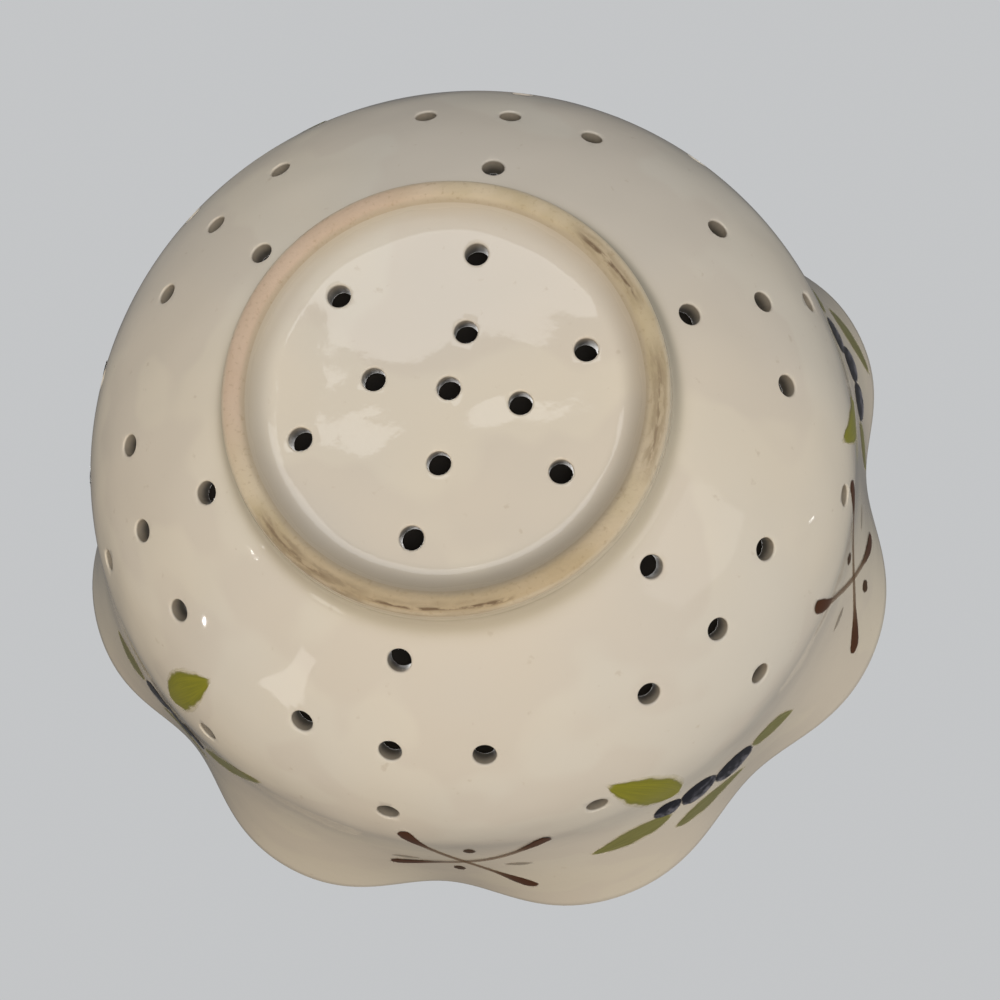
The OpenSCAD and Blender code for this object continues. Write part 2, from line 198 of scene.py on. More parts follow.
# Each softbox: its place, width, height, power, tint, and whether the glaze mirrors it.
for name, at, width, height, watts, tint, mirrored in (
    ("upper_window", (-0.1, -0.3, 1.4), 0.8, 0.8, 12.0, daylight, True),
    ("upper_side", (-0.5, -1.1, 0.7), 0.9, 0.7, 8.0, white, False),
    ("upper_fill", (0.9, 0.7, 0.8), 1.2, 1.2, 9.5, white, False),
    ("lower_main", (0.08, 0.32, -1.1), 0.6, 0.5, 8.2, soft_white, False),
    ("lower_left_warm", (-0.55, 0.8, -0.45), 0.5, 0.5, 2.4, lamplight, False),
    ("lower_right_window", (0.64, 0.52, -0.56), 0.4, 0.35, 0.34, daylight, True),
    ("right_glint", (0.963, 0.433, 0.15), 0.009, 0.009, 0.006, white, True),
    ("lower_left_glint", (-0.824, -0.02, -0.612), 0.034, 0.008, 0.06, white, True),
    ("left_glint", (-1.03, 0.06, -0.19), 0.02, 0.024, 0.14, white, True),
    ("lower_left_window", (-0.83, 0.42, -0.36), 0.12, 0.3, 0.2, daylight, True),
    ("lower_fill_window", (0.1, -0.45, -0.9), 0.45, 0.3, 0.9, skylight, True),
):
    lamp = bpy.data.lights.new(name, "AREA")
    lamp.shape = "RECTANGLE"
    lamp.size, lamp.size_y, lamp.energy, lamp.color = width, height, watts, tint
    holder = bpy.data.objects.new(name, lamp)
    bpy.context.scene.collection.objects.link(holder)
    holder.location = at
    holder.visible_glossy = mirrored
    holder.rotation_euler = (middle - Vector(at)).to_track_quat("-Z", "Y").to_euler()


def seen_from_front(name, colour, fades=None):
    """A plain surface seen only from the side that it faces, and that may fade out with distance."""
    material = bpy.data.materials.new(name)
    material.use_nodes = True
    tree = material.node_tree
    tree.nodes.clear()
    hidden = Wire(node_of(tree, "ShaderNodeNewGeometry").outputs["Backfacing"])
    if fades:
        where = object_place(tree)
        away = Wire(node_of(tree, "ShaderNodeVectorMath", {0: where}, operation="LENGTH").outputs["Value"])
        hidden = hidden.by("MAXIMUM", between(away, *fades))
    plain = node_of(tree, "ShaderNodeBsdfDiffuse", {"Color": colour})
    clear = node_of(tree, "ShaderNodeBsdfTransparent")
    choice = node_of(tree, "ShaderNodeMixShader", {0: hidden})
    tree.links.new(plain.outputs[0], choice.inputs[1])
    tree.links.new(clear.outputs[0], choice.inputs[2])
    output = node_of(tree, "ShaderNodeOutputMaterial")
    tree.links.new(choice.outputs[0], output.inputs["Surface"])
    return material


def for_camera_only(piece):
    piece.visible_diffuse = False
    piece.visible_glossy = False
    piece.visible_transmission = False
    piece.visible_shadow = False


floor_half, floor_fade, floor_grey = 4.0, (0.22, 0.6), (0.6, 0.61, 0.62, 1.0)
corners = [(side * floor_half, end * floor_half, 0.0) for side, end in ((-1, -1), (1, -1), (1, 1), (-1, 1))]
floor_mesh = bpy.data.meshes.new("floor")
floor_mesh.from_pydata(corners, [], [(0, 1, 2, 3)])
for_camera_only(in_scene("floor", floor_mesh, seen_from_front("pale_floor", floor_grey, floor_fade)))


# Glazed bowl: floor, wall, foot ring and rim.
# One thrown piece of white earthenware. Its rim was pressed into eight uneven lobes, the drain
# holes were pierced by hand while the clay was soft, and the whole was dipped in a warm white
# glaze, which rounds every edge and is wiped off only where the foot stands.
bowl_h, wall_t, recess_h = 83.0, 3.4, 3.0
flat_r, sweep_r, sweep_turn, knee_r, wall_slope = 15.0, 78.0, 37.5, 43.0, 71.6
foot_in_r, foot_out_r, band_h = 32.9, 36.9, 0.9
foot_inner_cove, foot_outer_cove, foot_side_lean = 6.0, 4.5, 0.5
lip_t = 2.75
rim_flare, lobe_depth, lobe_count = 0.47, 8.2, 8
lobe_turn, lobe_power, lobe_full = 46.3, 1.75, 0.11
drift, drift_turn, sway, sway_turn = 2.2, 73.0, 2.5, 13.0
soft = 0.05
round_step, same_point = 0.35, 0.02


def heading(degrees):
    """Unit step in the section plane along a slope."""
    return math.cos(math.radians(degrees)), math.sin(math.radians(degrees))


def on_arc(centre, radius, turn):
    """Point of an arc, with a turn of 0 straight down from its centre."""
    return centre[0] + radius * heading(turn)[1], centre[1] - radius * heading(turn)[0]


sweep_c = (flat_r, recess_h + sweep_r)
knee_start = on_arc(sweep_c, sweep_r, sweep_turn)
knee_c = on_arc(knee_start, -knee_r, sweep_turn)
knee_end = on_arc(knee_c, knee_r, wall_slope)


def arc(centre, radius, start, end, step=1.2):
    count = max(2, round(math.radians(abs(end - start)) * radius / step))
    return [on_arc(centre, radius, start + (end - start) * i / count) for i in range(count + 1)]


def straight(start, end, step=1.7):
    count = max(1, round(math.dist(start, end) / step))
    return [(start[0] + (end[0] - start[0]) * i / count, start[1] + (end[1] - start[1]) * i / count)
            for i in range(count + 1)]


inner_cove_turn = math.degrees(math.asin((band_h - recess_h + foot_inner_cove) / foot_inner_cove))
plate_r = foot_in_r - foot_inner_cove * math.cos(math.radians(inner_cove_turn))
outer_side_r = foot_out_r + foot_side_lean
cove_reach = sweep_r + foot_outer_cove
outer_cove_turn = math.degrees(math.asin((outer_side_r + foot_outer_cove - flat_r) / cove_reach))
outer_cove_c = on_arc(sweep_c, cove_reach, outer_cove_turn)
cone = (1 / math.tan(math.radians(wall_slope)), 1.0)
into = (-math.sin(math.radians(wall_slope)), math.cos(math.radians(wall_slope)))
edge_z = bowl_h - lip_t / 2 * (1 + into[1])
edge = (knee_end[0] + (edge_z - knee_end[1]) * cone[0], edge_z)
lip_c = (edge[0] + into[0] * lip_t / 2, edge[1] + into[1] * lip_t / 2)
inside_top = (edge[0] + into[0] * lip_t, edge[1] + into[1] * lip_t)
inside_low = on_arc(knee_c, knee_r - wall_t, wall_slope)
# Under the bare band the glaze ends in a small dip on each side, which the band hides.
inner_dip = [(foot_in_r, band_h), (foot_in_r + 0.18, band_h - 0.16), (foot_in_r + 0.6, band_h)]
outer_dip = [(foot_out_r - 0.4, band_h), (foot_out_r - 0.1, band_h - 0.2), (foot_out_r, band_h)]
section = []
for run in (
    straight((0.0, recess_h), (plate_r, recess_h)),
    arc((plate_r, recess_h - foot_inner_cove), foot_inner_cove, 180, 90 + inner_cove_turn, round_step),
    inner_dip,
    outer_dip,
    straight((foot_out_r, band_h), (outer_side_r, outer_cove_c[1]), 0.5),
    arc(outer_cove_c, foot_outer_cove, -90, outer_cove_turn - 180, 0.4),
    arc(sweep_c, sweep_r, outer_cove_turn, sweep_turn),
    arc(knee_c, knee_r, sweep_turn, wall_slope),
    straight(knee_end, edge),
    arc(lip_c, lip_t / 2, wall_slope, wall_slope + 180, round_step),
    straight(inside_top, inside_low),
    arc(knee_c, knee_r - wall_t, wall_slope, sweep_turn),
    arc(sweep_c, sweep_r - wall_t, sweep_turn, 0),
    straight((flat_r, recess_h + wall_t), (0.0, recess_h + wall_t)),
):
    section += [p for p in run if not section or math.dist(p, section[-1]) > same_point]


def lathed(name, section, sides=320, capped=True):
    """A turned shape from a section that starts on the axis, and also ends there if it is capped."""
    points = [(0.0, 0.0, section[0][1] * MM)]
    rings = len(section) - (2 if capped else 1)
    for r, z in section[1:1 + rings]:
        points += [(r * MM * math.cos(math.tau * j / sides), r * MM * math.sin(math.tau * j / sides), z * MM)
                   for j in range(sides)]
    last, faces = len(points), []
    if capped:
        points.append((0.0, 0.0, section[-1][1] * MM))
    for j in range(sides):
        k = (j + 1) % sides
        faces.append((0, 1 + k, 1 + j))
        faces += [(1 + i * sides + j, 1 + i * sides + k, 1 + (i + 1) * sides + k, 1 + (i + 1) * sides + j)
                  for i in range(rings - 1)]
        if capped:
            faces.append((last, 1 + (rings - 1) * sides + j, 1 + (rings - 1) * sides + k))
    mesh = bpy.data.meshes.new(name)
    mesh.from_pydata(points, [], faces)
    mesh.shade_smooth()
    return mesh


# The drain holes: their turn and their distance from the middle, as they were pierced.
inner_circle_r, outer_circle_r = 12.0, 24.6
low_row_r, group_row_r, high_row_r, between_row_r, group_step = 44.2, 59.4, 70.8, 73.1, 15.6
inner_circle = ((-52, 0.94), (28, 1.06), (114, 0.98), (213, 1.02))
outer_circle = ((-58, 1.02), (3, 1.0), (55, 0.95), (122, 1.0), (183, 1.02), (244, 1.03))
holes = [(-36.0, 1.2)]
holes += [(t, inner_circle_r * share) for t, share in inner_circle]
holes += [(t, outer_circle_r * share) for t, share in outer_circle]
for line in range(0, 360, 60):
    holes += [(line, low_row_r), (line, high_row_r), (line + 30, between_row_r)]
    holes += [(line + side * group_step, group_row_r) for side in (-1, 0, 1)]


def slope_at(r):
    return math.degrees(math.asin((r - flat_r) / sweep_r if r < knee_start[0] else (r - knee_c[0]) / knee_r))


def height_at(r):
    if r < knee_start[0]:
        return sweep_c[1] - sweep_r * math.cos(math.radians(slope_at(r)))
    return knee_c[1] - knee_r * math.cos(math.radians(slope_at(r)))


hole_mesh = bpy.data.meshes.new("drain_holes")
spots, leans, depths = [], [], []
for t, r in holes:
    on_floor = r < plate_r
    lean = 0.0 if on_floor else slope_at(r)
    z = recess_h if on_floor else height_at(r)
    past_flat = max(r - flat_r, 0.0)
    inner_z = sweep_c[1] - math.sqrt((sweep_r - wall_t) ** 2 - past_flat ** 2)
    depths.append((inner_z - recess_h) / wall_t if on_floor else 1.0)
    a = math.radians(t)
    spots.append((r * MM * math.cos(a), r * MM * math.sin(a), z * MM))
    out = math.sin(math.radians(lean))
    leans.append((out * math.cos(a), out * math.sin(a), -math.cos(math.radians(lean))))
hole_mesh.from_pydata(spots, [], [])
lean_values = [part for lean in leans for part in lean]
hole_mesh.attributes.new("lean", "FLOAT_VECTOR", "POINT").data.foreach_set("vector", lean_values)
hole_mesh.attributes.new("depth", "FLOAT", "POINT").data.foreach_set("value", depths)
hole_points = in_scene("drain_holes", hole_mesh)

# The tool that pierces a hole: a straight pin that flares where the glaze rounds both edges.
hole_r, rounding, overrun, pin_sides = 2.0, 0.4, 4.0, 36
mouth_r = hole_r + rounding
pin = [(0.0, overrun), (mouth_r + 0.35, overrun), (mouth_r + 0.2, 0.05)]
pin += [(mouth_r - rounding * heading(a)[0], -rounding + rounding * heading(a)[1])
        for a in range(80, -1, -16)]
pin += [(mouth_r - rounding * heading(a)[0], -wall_t + rounding - rounding * heading(a)[1])
        for a in range(0, 81, 16)]
pin += [(mouth_r + 0.3, -wall_t - 0.14), (mouth_r + 0.5, -wall_t - overrun), (0.0, -wall_t - overrun)]
piercer = in_scene("piercer", lathed("piercer", pin[::-1], pin_sides))

bowl_tree = bpy.data.node_groups.new("pressed_and_pierced", "GeometryNodeTree")
face = bowl_tree.interface
face.new_socket("Geometry", in_out="INPUT", socket_type="NodeSocketGeometry")
face.new_socket("Geometry", in_out="OUTPUT", socket_type="NodeSocketGeometry")
sizes = {"Lobe depth": lobe_depth * MM, "Edge flare": rim_flare * MM, "Lobe count": lobe_count,
         "Lobe turn": math.radians(lobe_turn), "Growth power": lobe_power, "Lobe fullness": lobe_full,
         "Knee height": knee_end[1] * MM, "Edge height": edge_z * MM, "Bowl height": bowl_h * MM,
         "Drift": math.radians(drift), "Drift turn": math.radians(drift_turn),
         "Sway": math.radians(sway), "Sway turn": math.radians(sway_turn)}
sockets = {name: face.new_socket(name, in_out="INPUT", socket_type="NodeSocketFloat") for name in sizes}
sockets["Holes"] = face.new_socket("Holes", in_out="INPUT", socket_type="NodeSocketObject")
sockets["Piercer"] = face.new_socket("Piercer", in_out="INPUT", socket_type="NodeSocketObject")
sockets["Glaze"] = face.new_socket("Glaze", in_out="INPUT", socket_type="NodeSocketMaterial")
given = node_of(bowl_tree, "NodeGroupInput")
size = {name: Wire(given.outputs[name]) for name in sizes}
spot = node_of(bowl_tree, "GeometryNodeInputPosition")
x, y, z = parts_of(bowl_tree, Wire(spot.outputs[0]))
round_turn = y.by("ARCTAN2", x)
wander = -(size["Drift"] * (round_turn - size["Drift turn"]).by("COSINE")) \
    - size["Sway"] * ((round_turn - size["Sway turn"]) * 2.0).by("COSINE")
phase = (round_turn - size["Lobe turn"] - wander) * size["Lobe count"]
lobe = (phase.by("COSINE") + 1.0) / 2.0 + size["Lobe fullness"] * phase.by("SINE") ** 2.0
climb_height = size["Bowl height"] - size["Knee height"]
climb = ((z.by("MINIMUM", size["Edge height"]) - size["Knee height"]) / climb_height).by("MAXIMUM", 0.0)
soft_climb = ((climb ** 2.0 + soft ** 2) ** 0.5 - soft) / (math.sqrt(1 + soft ** 2) - soft)
swing = (size["Edge flare"] + size["Lobe depth"] * lobe) * soft_climb ** size["Growth power"]
radius = (x * x + y * y) ** 0.5
grow = 1.0 + swing / radius.by("MAXIMUM", 0.001)
pressed = node_of(bowl_tree, "ShaderNodeCombineXYZ", {0: x * grow, 1: y * grow, 2: z})
shaped = node_of(bowl_tree, "GeometryNodeSetPosition", {"Position": Wire(pressed.outputs[0])})
bowl_tree.links.new(given.outputs["Geometry"], shaped.inputs["Geometry"])
places = node_of(bowl_tree, "GeometryNodeObjectInfo", {"Object": Wire(given.outputs["Holes"])})
tool = node_of(bowl_tree, "GeometryNodeObjectInfo", {"Object": Wire(given.outputs["Piercer"])})
lean = node_of(bowl_tree, "GeometryNodeInputNamedAttribute", {"Name": "lean"}, data_type="FLOAT_VECTOR")
depth = node_of(bowl_tree, "GeometryNodeInputNamedAttribute", {"Name": "depth"}, data_type="FLOAT")
tilt = node_of(bowl_tree, "FunctionNodeAlignRotationToVector", {"Vector": Wire(lean.outputs[0])}, axis="Z")
stretch = node_of(bowl_tree, "ShaderNodeCombineXYZ", {0: 1.0, 1: 1.0, 2: Wire(depth.outputs[0])})
cutters = node_of(bowl_tree, "GeometryNodeInstanceOnPoints",
                  {"Points": Wire(places.outputs["Geometry"]), "Instance": Wire(tool.outputs["Geometry"]),
                   "Rotation": Wire(tilt.outputs[0]), "Scale": Wire(stretch.outputs[0])})
loose = node_of(bowl_tree, "GeometryNodeRealizeInstances", {0: Wire(cutters.outputs[0])})
pierced = node_of(bowl_tree, "GeometryNodeMeshBoolean",
                  {0: Wire(shaped.outputs[0]), 1: Wire(loose.outputs[0])},
                  solver="MANIFOLD", operation="DIFFERENCE")
whole = node_of(bowl_tree, "GeometryNodeRealizeInstances", {0: Wire(pierced.outputs[0])})
dipped = node_of(bowl_tree, "GeometryNodeSetMaterial",
                 {"Geometry": Wire(whole.outputs[0]), "Material": Wire(given.outputs["Glaze"])})
node_of(bowl_tree, "NodeGroupOutput", {0: Wire(dipped.outputs[0])})


def clouds(tree, where, scale, detail=3.0, roughness=0.5, stretch=(1.0, 1.0, 1.0)):
    """Soft noise from 0 to 1 at a scale in millimetres."""
    per_metre = tuple(1000.0 * share / scale for share in stretch)
    placed = node_of(tree, "ShaderNodeMapping", {"Vector": where, "Scale": per_metre})
    settings = {"Vector": Wire(placed.outputs[0]), "Scale": 1.0, "Detail": detail, "Roughness": roughness}
    noise = node_of(tree, "ShaderNodeTexNoise", settings)
    return Wire(noise.outputs[0])


def blend(share, first, second):
    """The first colour, and the second where the share is 1."""
    tree = share.tree
    node = node_of(tree, "ShaderNodeMix", {0: share, 6: first, 7: second}, data_type="RGBA")
    return Wire(node.outputs[2])


glaze, tree, shader = material_of("warm_white_glaze")
where = object_place(tree)
x, y, z = parts_of(tree, where)
out_r = (x * x + y * y) ** 0.5
cream, grey_cream, rim_cream = (0.77, 0.69, 0.56, 1.0), (0.71, 0.66, 0.57, 1.0), (0.72, 0.64, 0.5, 1.0)
pooled_cream, iron_speck, lip_highlight = (0.66, 0.58, 0.49, 1.0), (0.5, 0.4, 0.28, 1.0), (0.82, 0.77, 0.68, 1.0)
# Where each shade of the glaze starts and is full, in metres, here and below.
rim_rise, lip_rise, pierced_end = (0.03, 0.07), (0.0805, 0.0822), (0.0375, 0.0385)
colour = blend(between(clouds(tree, where, 70.0), 0.35, 0.7), cream, grey_cream)
colour = blend(between(z, *rim_rise) * 0.6, colour, rim_cream)
pooled = clouds(tree, where, 26.0, 2.0, 0.4, (1.0, 1.0, 1.6))
colour = blend(between(pooled, 0.47, 0.53) * 0.35, colour, pooled_cream)
colour = blend(between(clouds(tree, where, 2.5, 3.0), 0.68, 0.78) * 0.3, colour, iron_speck)


def depth_below(out_r, z):
    """Depth in metres under the bowl's turned outer surface, up to the start of its rim."""
    sweep_gap, knee_gap = (
        radius * MM - ((out_r - centre[0] * MM) ** 2.0 + (z - centre[1] * MM) ** 2.0) ** 0.5
        for centre, radius in ((sweep_c, sweep_r), (knee_c, knee_r)))
    return sweep_gap + (knee_gap - sweep_gap) * out_r.by("GREATER_THAN", knee_start[0] * MM)


# The bores are glazed thinly over grey clay, and their grey-brown is partly that and partly
# painted shade; towards the inside they darken to near black, painted shade of the bowl's dark
# inside. Under the floor the depth is measured from the flat recess.
bore_grey_and_shade, bore_shade_black = (0.29, 0.25, 0.195, 1.0), (0.03, 0.026, 0.021, 1.0)
bore_start, bore_end, bore_shade_inward = (0.0001, 0.0005), (0.0034, 0.00335), (0.0004, 0.0026)
beside_foot = 0.003
depth = depth_below(out_r, z)
past_flat = (out_r - flat_r * MM).by("MAXIMUM", 0.0)
floor_top = sweep_c[1] * MM - (((sweep_r - wall_t) * MM) ** 2 - past_flat ** 2.0) ** 0.5
floor_depth = (z - recess_h * MM) / (floor_top - recess_h * MM) * (wall_t * MM)
depth = depth + (floor_depth - depth) * out_r.by("LESS_THAN", plate_r * MM)
bore = between(depth, *bore_start) * between(depth, *bore_end) * (1.0 - between(z, *pierced_end))
past_foot_in = out_r.by("GREATER_THAN", foot_in_r * MM - beside_foot)
within_foot_out = out_r.by("LESS_THAN", outer_side_r * MM + beside_foot)
bore = bore * (1.0 - past_foot_in * within_foot_out)
# Painted highlight: lighter along the lip's rounding.
colour = blend(between(z, *lip_rise) * 0.5, colour, lip_highlight)
# Painted shade in the bores, darkest towards the inside.
colour = blend(bore, colour, blend(between(depth, *bore_shade_inward), bore_grey_and_shade, bore_shade_black))

# The glaze is greyer in the corners beside the foot, partly glaze pooling there and partly
# painted shade, which inside the foot is stronger on one side. Where the glaze thins towards the
# wiped band the ochre clay shows through.
inner_shade, outer_shade = (0.43, 0.375, 0.3, 1.0), (0.53, 0.46, 0.32, 1.0)
wall_shade, thin_ochre = (0.36, 0.33, 0.27, 1.0), (0.56, 0.46, 0.32, 1.0)
cove_shade_turn, shaded_turn = math.radians(105.0), math.radians(325.0)
foot_start, foot_end, foot_low = (0.028, 0.029), (0.041, 0.039), (0.003, 0.0006)
inner_start, inner_end = (0.0285, 0.032), (0.0334, 0.033)
outer_start, outer_end, outer_low = (0.0366, 0.037), (0.0425, 0.0385), (0.008, 0.006)
shaded_start, shaded_end, shaded_arc = (0.0372, 0.038), (0.0405, 0.0388), (0.2, 0.9)
turn = y.by("ARCTAN2", x)
fray = clouds(tree, where, 7.0, 4.0)
foot_gap = z + (fray - 0.5) * 0.0012
near_foot = between(foot_gap, *foot_low) * between(out_r, *foot_start) * between(out_r, *foot_end)
# Painted shade in the inner corner, stronger on one side of the foot.
shade_by_turn = 0.55 + 0.25 * (turn - cove_shade_turn).by("COSINE")
inner_pool_and_shade = between(out_r, *inner_start) * between(out_r, *inner_end) * shade_by_turn
colour = blend(inner_pool_and_shade, colour, inner_shade)
# Pooled glaze and painted shade in the outer corner.
low = between(z, *outer_low)
outer_pool_and_shade = between(out_r, *outer_start) * between(out_r + (fray - 0.5) * 0.002, *outer_end) * low
colour = blend(outer_pool_and_shade * 0.6, colour, outer_shade)
# Painted shadow: the wall just outside the foot is darkened on one side only.
shaded = between(out_r, *shaded_start) * between(out_r, *shaded_end) * low
shaded = shaded * between((turn - shaded_turn).by("COSINE"), *shaded_arc)
colour = blend(shaded * 0.6, colour, wall_shade)
colour = blend(near_foot * 0.55, colour, thin_ochre)
feed(shader.inputs["Base Color"], colour)
dull = 0.3 * near_foot + 0.4 * bore
feed(shader.inputs["Roughness"], 0.03 + 0.05 * clouds(tree, where, 25.0) + dull)
low_waves = 0.3 + 0.7 * between(z, 0.05, 0.03)
waves = clouds(tree, where, 19.0, 1.0, 0.4) * low_waves + clouds(tree, where, 2.2, 2.0) * 0.015
bump = node_of(tree, "ShaderNodeBump", {"Strength": 0.8, "Distance": 0.0014, "Height": waves})
feed(shader.inputs["Normal"], Wire(bump.outputs[0]))

bowl = in_scene("glazed_bowl", lathed("glazed_bowl", section))
pressing = bowl.modifiers.new("pressed_and_pierced", "NODES")
pressing.node_group = bowl_tree
for name, value in list(sizes.items()) + [("Holes", hole_points), ("Piercer", piercer), ("Glaze", glaze)]:
    pressing[sockets[name].identifier] = value


def settled(piece):
    """The piece's evaluated shape as its own plain mesh, with no modifier left."""
    bpy.context.view_layer.update()
    seen = piece.evaluated_get(bpy.context.evaluated_depsgraph_get())
    mesh = bpy.data.meshes.new_from_object(seen)
    piece.modifiers.clear()
    piece.data = mesh
    mesh.name = piece.name
    mesh.shade_smooth()


settled(bowl)
for helper in (hole_points, piercer):
    bpy.data.objects.remove(helper)
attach(bowl, "root")
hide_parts("base_plate", "bowl_wall", "foot_ring", "scalloped_rim")


# Shade inside the bowl.
# In the photograph the bowl lies mouth down, so it is dark behind its drain holes. This liner
# faces the wall from inside, so only the holes show it from outside, and from above it isn't there.
gap, liner_step, liner_rise, liner_sides = wall_t + 1.2, 4.0, 25, 72
shade_black = (0.012, 0.011, 0.01, 1.0)
liner = [(0.0, recess_h + gap)]
liner += arc(sweep_c, sweep_r - gap, 2, sweep_turn, liner_step)
liner += arc(knee_c, knee_r - gap, sweep_turn, wall_slope, liner_step)
liner.append((knee_end[0] + liner_rise * cone[0] + into[0] * gap, knee_end[1] + liner_rise))
for_camera_only(in_scene("mouth_shade", lathed("mouth_shade", liner, liner_sides, capped=False),
                         seen_from_front("mouth_shade", shade_black)))


# Bare band of the foot.
# The same clay with its glaze wiped off so that it doesn't stick in the kiln. It is tan, a
# little rough, and stained brown in arcs by years of wet drainers.
foot_r, ridge_half, inner_round_r, inner_round_turn = 34.9, 0.1, 2.6, -49.5
ridge_in, ridge_out = foot_r - ridge_half, foot_r + ridge_half
inner_round = arc((ridge_in, inner_round_r), inner_round_r, inner_round_turn, 0, 0.3)
inner_fit = (ridge_in - foot_in_r) / (inner_round[-1][0] - inner_round[0][0])
# The band starts and ends a little way under the glaze.
band_section = [(foot_in_r - 0.3, band_h + 0.37)]
band_section += [(ridge_in + (r - inner_round[-1][0]) * inner_fit, z) for r, z in inner_round]
band_section += [(ridge_out + (foot_out_r - ridge_out) * heading(a)[1], band_h * (1 - heading(a)[0]))
                 for a in range(0, 91, 10)]
band_section.append((foot_out_r + 0.02, band_h + 0.4))


def ring(name, section, sides=320):
    """A closed turned ring from a section that runs all the way round."""
    count, points, faces = len(section), [], []
    for j in range(sides):
        a = math.tau * j / sides
        points += [(r * MM * math.cos(a), r * MM * math.sin(a), z * MM) for r, z in section]
    for j in range(sides):
        h = (j + 1) % sides
        faces += [(j * count + i, j * count + (i + 1) % count, h * count + (i + 1) % count, h * count + i)
                  for i in range(count)]
    mesh = bpy.data.meshes.new(name)
    mesh.from_pydata(points, [], faces)
    mesh.shade_smooth()
    return mesh


clay, tree, shader = material_of("bare_tan_clay")
where = object_place(tree)
x, y = parts_of(tree, where)[:2]
out_r = (x * x + y * y) ** 0.5
turn = y.by("ARCTAN2", x)
along_ring = Wire(node_of(tree, "ShaderNodeCombineXYZ", {0: turn * (foot_r * MM), 1: out_r * 4.0}).outputs[0])
fray = (clouds(tree, along_ring, 7.0, 3.0) - 0.5) * 0.0022
tan, light_tan, warm_tan, pink_tan = (
    (0.54, 0.44, 0.275, 1.0), (0.65, 0.54, 0.38, 1.0), (0.5, 0.37, 0.215, 1.0), (0.64, 0.47, 0.36, 1.0))
inner_edge, outer_edge = (0.5, 0.41, 0.29, 1.0), (0.64, 0.55, 0.41, 1.0)
smear, stain, grain = (0.33, 0.25, 0.155, 1.0), (0.16, 0.1, 0.055, 1.0), (0.36, 0.25, 0.14, 1.0)
inner_fade, outer_fade = (0.0341, 0.0331), (0.0361, 0.0367)
smear_fade, stain_fade = (0.0016, 0.0007), (0.0004, 0.0001)
colour = blend(between(clouds(tree, where, 14.0), 0.35, 0.65), tan, light_tan)


def arc_of(turn, middle, half, share):
    """A share over an arc round a turn in degrees, fading towards its ends."""
    away = (turn - math.radians(middle)).by("COSINE")
    return between(away, math.cos(math.radians(half)), math.cos(math.radians(half * 0.5))) * share


def arcs_of(turn, *arcs):
    """The largest share of several arcs, each with its middle, half turn and share."""
    share = arc_of(turn, *arcs[0])
    for one in arcs[1:]:
        share = share.by("MAXIMUM", arc_of(turn, *one))
    return share


colour = blend(arc_of(turn, 110.0, 60.0, 0.6), colour, warm_tan)
colour = blend(arc_of(turn, 235.0, 62.0, 0.7), colour, pink_tan)
smeared = arcs_of(turn, (147.0, 22.0, 1.0), (27.0, 22.0, 0.8), (112.0, 20.0, 0.5), (343.0, 18.0, 0.7))
lined = arcs_of(turn, (116.0, 15.0, 1.0), (99.0, 9.0, 1.0), (343.0, 14.0, 1.0), (152.0, 14.0, 0.6),
                (27.0, 16.0, 0.5))
worn = between(clouds(tree, along_ring, 3.5, 4.0, 0.6), 0.38, 0.56)
frayed_r = out_r + fray * 0.4
colour = blend(between(frayed_r, *inner_fade) * 0.8, colour, inner_edge)
colour = blend(between(frayed_r, *outer_fade) * 0.6, colour, outer_edge)
line_r = 0.0352 + 0.0007 * (turn - math.radians(115.0)).by("COSINE")
off_line = (out_r - line_r + fray * 0.5).by("ABSOLUTE")
colour = blend(smeared * between(off_line, *smear_fade) * (0.45 + 0.45 * worn), colour, smear)
colour = blend(lined * between(off_line, *stain_fade) * worn * 0.85, colour, stain)
colour = blend(between(clouds(tree, where, 0.8, 4.0), 0.55, 0.75) * 0.35, colour, grain)
feed(shader.inputs["Base Color"], colour)
shader.inputs["Roughness"].default_value = 0.55
grit = clouds(tree, where, 0.7, 4.0)
bump = node_of(tree, "ShaderNodeBump", {"Strength": 0.5, "Distance": 0.0002, "Height": grit})
feed(shader.inputs["Normal"], Wire(bump.outputs[0]))
band = in_scene("bare_foot_band_clay", ring("bare_foot_band_clay", band_section), clay)
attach(band, "root")
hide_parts("bare_foot_band")


# Leaves of the berry sprays.
# Overglaze enamel brushed on and fired: on each spray one broad yellow-green leaf towards the
# foot and three slim olive ones. Every leaf is a film a little proud of the glaze.
def lobe_at(a):
    """How far a lobe stands out at a turn in degrees, from 0 in a valley to 1 on a crest."""
    wander = -drift * heading(a - drift_turn)[0] - sway * heading(2 * (a - sway_turn))[0]
    phase = math.radians(lobe_count * (a - lobe_turn - wander))
    return (1 + math.cos(phase)) / 2 + lobe_full * math.sin(phase) ** 2


def outer_r(a, z):
    """Radius of the bowl's outer surface at a turn in degrees and a height."""
    if z < knee_start[1]:
        return sweep_c[0] + math.sqrt(sweep_r ** 2 - (sweep_c[1] - z) ** 2)
    if z < knee_end[1]:
        return knee_c[0] + math.sqrt(knee_r ** 2 - (knee_c[1] - z) ** 2)
    climb = (z - knee_end[1]) / (bowl_h - knee_end[1])
    climb = (math.sqrt(climb ** 2 + soft ** 2) - soft) / (math.sqrt(1 + soft ** 2) - soft)
    swing = (rim_flare + lobe_depth * lobe_at(a)) * climb ** lobe_power
    return knee_end[0] + (z - knee_end[1]) * cone[0] + swing


def on_wall(turn, middle_z, across, along, out):
    """A point on the wall, across and up from a motif's middle, set out by a height."""
    a = turn + math.degrees(across / outer_r(turn, middle_z))
    r = outer_r(a, middle_z + along) + out
    return r * MM * math.cos(math.radians(a)), r * MM * math.sin(math.radians(a)), (middle_z + along) * MM


seat, film_edge = 0.05, 0.06


